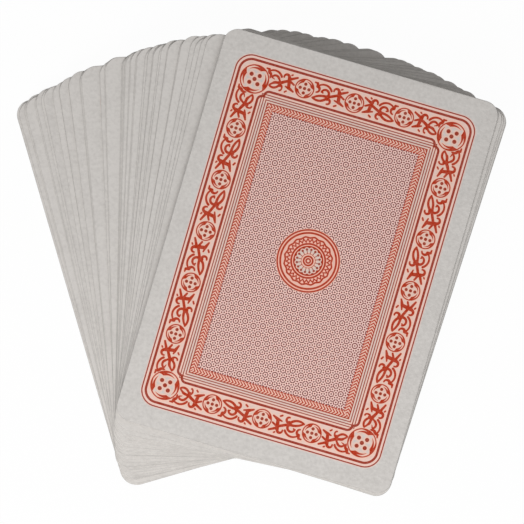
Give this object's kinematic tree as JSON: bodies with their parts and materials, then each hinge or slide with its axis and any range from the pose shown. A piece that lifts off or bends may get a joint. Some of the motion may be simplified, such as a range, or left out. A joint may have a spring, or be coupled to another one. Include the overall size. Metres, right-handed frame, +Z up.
{
  "type": "jumbo playing card deck",
  "caption": "Fanned deck of jumbo playing cards with red ornamental backs, lying face down; the cards turn about one upright axis and the top card slides off.",
  "frame": {"origin": "on the fan's upright turning axis, at the underside of the lowest card, on the table", "axes": "+Z up, away from the table; +Y up the middle of the fan, away from the turning axis; +X to the right of the fan seen from above"},
  "size_m": [0.1541, 0.1469, 0.0173],
  "materials": {
    "card_stock": "smooth coated stock, backs printed in red, satin"
  },
  "bodies": {
    "ace_of_spades": {"ace_of_spades": "card_stock"},
    "two_of_spades": {"two_of_spades": "card_stock"},
    "three_of_spades": {"three_of_spades": "card_stock"},
    "four_of_spades": {"four_of_spades": "card_stock"},
    "five_of_spades": {"five_of_spades": "card_stock"},
    "six_of_spades": {"six_of_spades": "card_stock"},
    "seven_of_spades": {"seven_of_spades": "card_stock"},
    "eight_of_spades": {"eight_of_spades": "card_stock"},
    "nine_of_spades": {"nine_of_spades": "card_stock"},
    "ten_of_spades": {"ten_of_spades": "card_stock"},
    "jack_of_spades": {"jack_of_spades": "card_stock"},
    "queen_of_spades": {"queen_of_spades": "card_stock"},
    "king_of_spades": {"king_of_spades": "card_stock"},
    "ace_of_hearts": {"ace_of_hearts": "card_stock"},
    "two_of_hearts": {"two_of_hearts": "card_stock"},
    "three_of_hearts": {"three_of_hearts": "card_stock"},
    "four_of_hearts": {"four_of_hearts": "card_stock"},
    "five_of_hearts": {"five_of_hearts": "card_stock"},
    "six_of_hearts": {"six_of_hearts": "card_stock"},
    "seven_of_hearts": {"seven_of_hearts": "card_stock"},
    "eight_of_hearts": {"eight_of_hearts": "card_stock"},
    "nine_of_hearts": {"nine_of_hearts": "card_stock"},
    "ten_of_hearts": {"ten_of_hearts": "card_stock"},
    "jack_of_hearts": {"jack_of_hearts": "card_stock"},
    "queen_of_hearts": {"queen_of_hearts": "card_stock"},
    "king_of_hearts": {"king_of_hearts": "card_stock"},
    "ace_of_clubs": {"ace_of_clubs": "card_stock"},
    "two_of_clubs": {"two_of_clubs": "card_stock"},
    "three_of_clubs": {"three_of_clubs": "card_stock"},
    "four_of_clubs": {"four_of_clubs": "card_stock"},
    "five_of_clubs": {"five_of_clubs": "card_stock"},
    "six_of_clubs": {"six_of_clubs": "card_stock"},
    "seven_of_clubs": {"seven_of_clubs": "card_stock"},
    "eight_of_clubs": {"eight_of_clubs": "card_stock"},
    "nine_of_clubs": {"nine_of_clubs": "card_stock"},
    "ten_of_clubs": {"ten_of_clubs": "card_stock"},
    "jack_of_clubs": {"jack_of_clubs": "card_stock"},
    "queen_of_clubs": {"queen_of_clubs": "card_stock"},
    "king_of_clubs": {"king_of_clubs": "card_stock"},
    "ace_of_diamonds": {"ace_of_diamonds": "card_stock"},
    "two_of_diamonds": {"two_of_diamonds": "card_stock"},
    "three_of_diamonds": {"three_of_diamonds": "card_stock"},
    "four_of_diamonds": {"four_of_diamonds": "card_stock"},
    "five_of_diamonds": {"five_of_diamonds": "card_stock"},
    "six_of_diamonds": {"six_of_diamonds": "card_stock"},
    "seven_of_diamonds": {"seven_of_diamonds": "card_stock"},
    "eight_of_diamonds": {"eight_of_diamonds": "card_stock"},
    "nine_of_diamonds": {"nine_of_diamonds": "card_stock"},
    "ten_of_diamonds": {"ten_of_diamonds": "card_stock"},
    "jack_of_diamonds": {"jack_of_diamonds": "card_stock"},
    "queen_of_diamonds": {"queen_of_diamonds": "card_stock"},
    "king_of_diamonds": {"king_of_diamonds": "card_stock"},
    "red_joker": {"red_joker": "card_stock"},
    "black_joker": {"black_joker": "card_stock"}
  },
  "joints": [
    {"name": "fan", "type": "hinge", "parent": "ace_of_spades", "child": "red_joker", "pos_m": [0, 0, 0], "axis": [0, 0, -1], "range_deg": [-32.6, 87.4]},
    {"name": "fan_two_of_spades", "type": "hinge", "parent": "ace_of_spades", "child": "two_of_spades", "pos_m": [0, 0, 0], "axis": [0, 0, -1], "range_deg": [-0.142, 0.377]},
    {"name": "fan_three_of_spades", "type": "hinge", "parent": "ace_of_spades", "child": "three_of_spades", "pos_m": [0, 0, 0], "axis": [0, 0, -1], "range_deg": [-1.3, 3.49]},
    {"name": "fan_four_of_spades", "type": "hinge", "parent": "ace_of_spades", "child": "four_of_spades", "pos_m": [0, 0, 0], "axis": [0, 0, -1], "range_deg": [-1.44, 3.86]},
    {"name": "fan_five_of_spades", "type": "hinge", "parent": "ace_of_spades", "child": "five_of_spades", "pos_m": [0, 0, 0], "axis": [0, 0, -1], "range_deg": [-1.58, 4.24]},
    {"name": "fan_six_of_spades", "type": "hinge", "parent": "ace_of_spades", "child": "six_of_spades", "pos_m": [0, 0, 0], "axis": [0, 0, -1], "range_deg": [-3, 8.04]},
    {"name": "fan_seven_of_spades", "type": "hinge", "parent": "ace_of_spades", "child": "seven_of_spades", "pos_m": [0, 0, 0], "axis": [0, 0, -1], "range_deg": [-3.14, 8.42]},
    {"name": "fan_eight_of_spades", "type": "hinge", "parent": "ace_of_spades", "child": "eight_of_spades", "pos_m": [0, 0, 0], "axis": [0, 0, -1], "range_deg": [-4.2, 11.26]},
    {"name": "fan_nine_of_spades", "type": "hinge", "parent": "ace_of_spades", "child": "nine_of_spades", "pos_m": [0, 0, 0], "axis": [0, 0, -1], "range_deg": [-4.34, 11.64]},
    {"name": "fan_ten_of_spades", "type": "hinge", "parent": "ace_of_spades", "child": "ten_of_spades", "pos_m": [0, 0, 0], "axis": [0, 0, -1], "range_deg": [-6.2, 16.62]},
    {"name": "fan_jack_of_spades", "type": "hinge", "parent": "ace_of_spades", "child": "jack_of_spades", "pos_m": [0, 0, 0], "axis": [0, 0, -1], "range_deg": [-7.2, 19.3]},
    {"name": "fan_queen_of_spades", "type": "hinge", "parent": "ace_of_spades", "child": "queen_of_spades", "pos_m": [0, 0, 0], "axis": [0, 0, -1], "range_deg": [-7.34, 19.68]},
    {"name": "fan_king_of_spades", "type": "hinge", "parent": "ace_of_spades", "child": "king_of_spades", "pos_m": [0, 0, 0], "axis": [0, 0, -1], "range_deg": [-8.8, 23.59]},
    {"name": "fan_ace_of_hearts", "type": "hinge", "parent": "ace_of_spades", "child": "ace_of_hearts", "pos_m": [0, 0, 0], "axis": [0, 0, -1], "range_deg": [-8.94, 23.97]},
    {"name": "fan_two_of_hearts", "type": "hinge", "parent": "ace_of_spades", "child": "two_of_hearts", "pos_m": [0, 0, 0], "axis": [0, 0, -1], "range_deg": [-9.08, 24.34]},
    {"name": "fan_three_of_hearts", "type": "hinge", "parent": "ace_of_spades", "child": "three_of_hearts", "pos_m": [0, 0, 0], "axis": [0, 0, -1], "range_deg": [-10.8, 28.96]},
    {"name": "fan_four_of_hearts", "type": "hinge", "parent": "ace_of_spades", "child": "four_of_hearts", "pos_m": [0, 0, 0], "axis": [0, 0, -1], "range_deg": [-10.94, 29.33]},
    {"name": "fan_five_of_hearts", "type": "hinge", "parent": "ace_of_spades", "child": "five_of_hearts", "pos_m": [0, 0, 0], "axis": [0, 0, -1], "range_deg": [-11.08, 29.71]},
    {"name": "fan_six_of_hearts", "type": "hinge", "parent": "ace_of_spades", "child": "six_of_hearts", "pos_m": [0, 0, 0], "axis": [0, 0, -1], "range_deg": [-13.7, 36.73]},
    {"name": "fan_seven_of_hearts", "type": "hinge", "parent": "ace_of_spades", "child": "seven_of_hearts", "pos_m": [0, 0, 0], "axis": [0, 0, -1], "range_deg": [-13.84, 37.11]},
    {"name": "fan_eight_of_hearts", "type": "hinge", "parent": "ace_of_spades", "child": "eight_of_hearts", "pos_m": [0, 0, 0], "axis": [0, 0, -1], "range_deg": [-14.7, 39.41]},
    {"name": "fan_nine_of_hearts", "type": "hinge", "parent": "ace_of_spades", "child": "nine_of_hearts", "pos_m": [0, 0, 0], "axis": [0, 0, -1], "range_deg": [-14.84, 39.79]},
    {"name": "fan_ten_of_hearts", "type": "hinge", "parent": "ace_of_spades", "child": "ten_of_hearts", "pos_m": [0, 0, 0], "axis": [0, 0, -1], "range_deg": [-17.4, 46.65]},
    {"name": "fan_jack_of_hearts", "type": "hinge", "parent": "ace_of_spades", "child": "jack_of_hearts", "pos_m": [0, 0, 0], "axis": [0, 0, -1], "range_deg": [-17.54, 47.03]},
    {"name": "fan_queen_of_hearts", "type": "hinge", "parent": "ace_of_spades", "child": "queen_of_hearts", "pos_m": [0, 0, 0], "axis": [0, 0, -1], "range_deg": [-17.68, 47.4]},
    {"name": "fan_king_of_hearts", "type": "hinge", "parent": "ace_of_spades", "child": "king_of_hearts", "pos_m": [0, 0, 0], "axis": [0, 0, -1], "range_deg": [-17.82, 47.78]},
    {"name": "fan_ace_of_clubs", "type": "hinge", "parent": "ace_of_spades", "child": "ace_of_clubs", "pos_m": [0, 0, 0], "axis": [0, 0, -1], "range_deg": [-17.96, 48.15]},
    {"name": "fan_two_of_clubs", "type": "hinge", "parent": "ace_of_spades", "child": "two_of_clubs", "pos_m": [0, 0, 0], "axis": [0, 0, -1], "range_deg": [-18.6, 49.87]},
    {"name": "fan_three_of_clubs", "type": "hinge", "parent": "ace_of_spades", "child": "three_of_clubs", "pos_m": [0, 0, 0], "axis": [0, 0, -1], "range_deg": [-18.74, 50.24]},
    {"name": "fan_four_of_clubs", "type": "hinge", "parent": "ace_of_spades", "child": "four_of_clubs", "pos_m": [0, 0, 0], "axis": [0, 0, -1], "range_deg": [-19.6, 52.55]},
    {"name": "fan_five_of_clubs", "type": "hinge", "parent": "ace_of_spades", "child": "five_of_clubs", "pos_m": [0, 0, 0], "axis": [0, 0, -1], "range_deg": [-19.74, 52.92]},
    {"name": "fan_six_of_clubs", "type": "hinge", "parent": "ace_of_spades", "child": "six_of_clubs", "pos_m": [0, 0, 0], "axis": [0, 0, -1], "range_deg": [-20.9, 56.03]},
    {"name": "fan_seven_of_clubs", "type": "hinge", "parent": "ace_of_spades", "child": "seven_of_clubs", "pos_m": [0, 0, 0], "axis": [0, 0, -1], "range_deg": [-21.4, 57.38]},
    {"name": "fan_eight_of_clubs", "type": "hinge", "parent": "ace_of_spades", "child": "eight_of_clubs", "pos_m": [0, 0, 0], "axis": [0, 0, -1], "range_deg": [-22.2, 59.52]},
    {"name": "fan_nine_of_clubs", "type": "hinge", "parent": "ace_of_spades", "child": "nine_of_clubs", "pos_m": [0, 0, 0], "axis": [0, 0, -1], "range_deg": [-22.34, 59.9]},
    {"name": "fan_ten_of_clubs", "type": "hinge", "parent": "ace_of_spades", "child": "ten_of_clubs", "pos_m": [0, 0, 0], "axis": [0, 0, -1], "range_deg": [-23.3, 62.47]},
    {"name": "fan_jack_of_clubs", "type": "hinge", "parent": "ace_of_spades", "child": "jack_of_clubs", "pos_m": [0, 0, 0], "axis": [0, 0, -1], "range_deg": [-23.44, 62.84]},
    {"name": "fan_queen_of_clubs", "type": "hinge", "parent": "ace_of_spades", "child": "queen_of_clubs", "pos_m": [0, 0, 0], "axis": [0, 0, -1], "range_deg": [-24.3, 65.15]},
    {"name": "fan_king_of_clubs", "type": "hinge", "parent": "ace_of_spades", "child": "king_of_clubs", "pos_m": [0, 0, 0], "axis": [0, 0, -1], "range_deg": [-24.44, 65.53]},
    {"name": "fan_ace_of_diamonds", "type": "hinge", "parent": "ace_of_spades", "child": "ace_of_diamonds", "pos_m": [0, 0, 0], "axis": [0, 0, -1], "range_deg": [-26.2, 70.24]},
    {"name": "fan_two_of_diamonds", "type": "hinge", "parent": "ace_of_spades", "child": "two_of_diamonds", "pos_m": [0, 0, 0], "axis": [0, 0, -1], "range_deg": [-26.34, 70.62]},
    {"name": "fan_three_of_diamonds", "type": "hinge", "parent": "ace_of_spades", "child": "three_of_diamonds", "pos_m": [0, 0, 0], "axis": [0, 0, -1], "range_deg": [-26.48, 70.99]},
    {"name": "fan_four_of_diamonds", "type": "hinge", "parent": "ace_of_spades", "child": "four_of_diamonds", "pos_m": [0, 0, 0], "axis": [0, 0, -1], "range_deg": [-27.8, 74.53]},
    {"name": "fan_five_of_diamonds", "type": "hinge", "parent": "ace_of_spades", "child": "five_of_diamonds", "pos_m": [0, 0, 0], "axis": [0, 0, -1], "range_deg": [-28.5, 76.41]},
    {"name": "fan_six_of_diamonds", "type": "hinge", "parent": "ace_of_spades", "child": "six_of_diamonds", "pos_m": [0, 0, 0], "axis": [0, 0, -1], "range_deg": [-29.1, 78.02]},
    {"name": "fan_seven_of_diamonds", "type": "hinge", "parent": "ace_of_spades", "child": "seven_of_diamonds", "pos_m": [0, 0, 0], "axis": [0, 0, -1], "range_deg": [-30.1, 80.7]},
    {"name": "fan_eight_of_diamonds", "type": "hinge", "parent": "ace_of_spades", "child": "eight_of_diamonds", "pos_m": [0, 0, 0], "axis": [0, 0, -1], "range_deg": [-33.25, 89.15]},
    {"name": "fan_nine_of_diamonds", "type": "hinge", "parent": "ace_of_spades", "child": "nine_of_diamonds", "pos_m": [0, 0, 0], "axis": [0, 0, -1], "range_deg": [-33.77, 90.55]},
    {"name": "fan_ten_of_diamonds", "type": "hinge", "parent": "ace_of_spades", "child": "ten_of_diamonds", "pos_m": [0, 0, 0], "axis": [0, 0, -1], "range_deg": [-34.06, 91.32]},
    {"name": "fan_jack_of_diamonds", "type": "hinge", "parent": "ace_of_spades", "child": "jack_of_diamonds", "pos_m": [0, 0, 0], "axis": [0, 0, -1], "range_deg": [-34.06, 91.32]},
    {"name": "fan_queen_of_diamonds", "type": "hinge", "parent": "ace_of_spades", "child": "queen_of_diamonds", "pos_m": [0, 0, 0], "axis": [0, 0, -1], "range_deg": [-33.77, 90.55]},
    {"name": "fan_king_of_diamonds", "type": "hinge", "parent": "ace_of_spades", "child": "king_of_diamonds", "pos_m": [0, 0, 0], "axis": [0, 0, -1], "range_deg": [-33.25, 89.15]},
    {"name": "deal", "type": "slide", "parent": "red_joker", "child": "black_joker", "axis": [0.9598, -0.2807, 0], "range_m": [0, 0.035]}
  ],
  "couplings": [
    {"joint": "fan_two_of_spades", "follows": "fan", "ratio": 0.004294},
    {"joint": "fan_three_of_spades", "follows": "fan", "ratio": 0.039877},
    {"joint": "fan_four_of_spades", "follows": "fan", "ratio": 0.044172},
    {"joint": "fan_five_of_spades", "follows": "fan", "ratio": 0.048466},
    {"joint": "fan_six_of_spades", "follows": "fan", "ratio": 0.092025},
    {"joint": "fan_seven_of_spades", "follows": "fan", "ratio": 0.096319},
    {"joint": "fan_eight_of_spades", "follows": "fan", "ratio": 0.12883},
    {"joint": "fan_nine_of_spades", "follows": "fan", "ratio": 0.13313},
    {"joint": "fan_ten_of_spades", "follows": "fan", "ratio": 0.19018},
    {"joint": "fan_jack_of_spades", "follows": "fan", "ratio": 0.22086},
    {"joint": "fan_queen_of_spades", "follows": "fan", "ratio": 0.22515},
    {"joint": "fan_king_of_spades", "follows": "fan", "ratio": 0.26994},
    {"joint": "fan_ace_of_hearts", "follows": "fan", "ratio": 0.27423},
    {"joint": "fan_two_of_hearts", "follows": "fan", "ratio": 0.27853},
    {"joint": "fan_three_of_hearts", "follows": "fan", "ratio": 0.33129},
    {"joint": "fan_four_of_hearts", "follows": "fan", "ratio": 0.33558},
    {"joint": "fan_five_of_hearts", "follows": "fan", "ratio": 0.33988},
    {"joint": "fan_six_of_hearts", "follows": "fan", "ratio": 0.42024},
    {"joint": "fan_seven_of_hearts", "follows": "fan", "ratio": 0.42454},
    {"joint": "fan_eight_of_hearts", "follows": "fan", "ratio": 0.45092},
    {"joint": "fan_nine_of_hearts", "follows": "fan", "ratio": 0.45521},
    {"joint": "fan_ten_of_hearts", "follows": "fan", "ratio": 0.53374},
    {"joint": "fan_jack_of_hearts", "follows": "fan", "ratio": 0.53804},
    {"joint": "fan_queen_of_hearts", "follows": "fan", "ratio": 0.54233},
    {"joint": "fan_king_of_hearts", "follows": "fan", "ratio": 0.54663},
    {"joint": "fan_ace_of_clubs", "follows": "fan", "ratio": 0.55092},
    {"joint": "fan_two_of_clubs", "follows": "fan", "ratio": 0.57055},
    {"joint": "fan_three_of_clubs", "follows": "fan", "ratio": 0.57485},
    {"joint": "fan_four_of_clubs", "follows": "fan", "ratio": 0.60123},
    {"joint": "fan_five_of_clubs", "follows": "fan", "ratio": 0.60552},
    {"joint": "fan_six_of_clubs", "follows": "fan", "ratio": 0.6411},
    {"joint": "fan_seven_of_clubs", "follows": "fan", "ratio": 0.65644},
    {"joint": "fan_eight_of_clubs", "follows": "fan", "ratio": 0.68098},
    {"joint": "fan_nine_of_clubs", "follows": "fan", "ratio": 0.68528},
    {"joint": "fan_ten_of_clubs", "follows": "fan", "ratio": 0.71472},
    {"joint": "fan_jack_of_clubs", "follows": "fan", "ratio": 0.71902},
    {"joint": "fan_queen_of_clubs", "follows": "fan", "ratio": 0.7454},
    {"joint": "fan_king_of_clubs", "follows": "fan", "ratio": 0.74969},
    {"joint": "fan_ace_of_diamonds", "follows": "fan", "ratio": 0.80368},
    {"joint": "fan_two_of_diamonds", "follows": "fan", "ratio": 0.80797},
    {"joint": "fan_three_of_diamonds", "follows": "fan", "ratio": 0.81227},
    {"joint": "fan_four_of_diamonds", "follows": "fan", "ratio": 0.85276},
    {"joint": "fan_five_of_diamonds", "follows": "fan", "ratio": 0.87423},
    {"joint": "fan_six_of_diamonds", "follows": "fan", "ratio": 0.89264},
    {"joint": "fan_seven_of_diamonds", "follows": "fan", "ratio": 0.92331},
    {"joint": "fan_eight_of_diamonds", "follows": "fan", "ratio": 1.02},
    {"joint": "fan_nine_of_diamonds", "follows": "fan", "ratio": 1.036},
    {"joint": "fan_ten_of_diamonds", "follows": "fan", "ratio": 1.0449},
    {"joint": "fan_jack_of_diamonds", "follows": "fan", "ratio": 1.0449},
    {"joint": "fan_queen_of_diamonds", "follows": "fan", "ratio": 1.036},
    {"joint": "fan_king_of_diamonds", "follows": "fan", "ratio": 1.02}
  ]
}
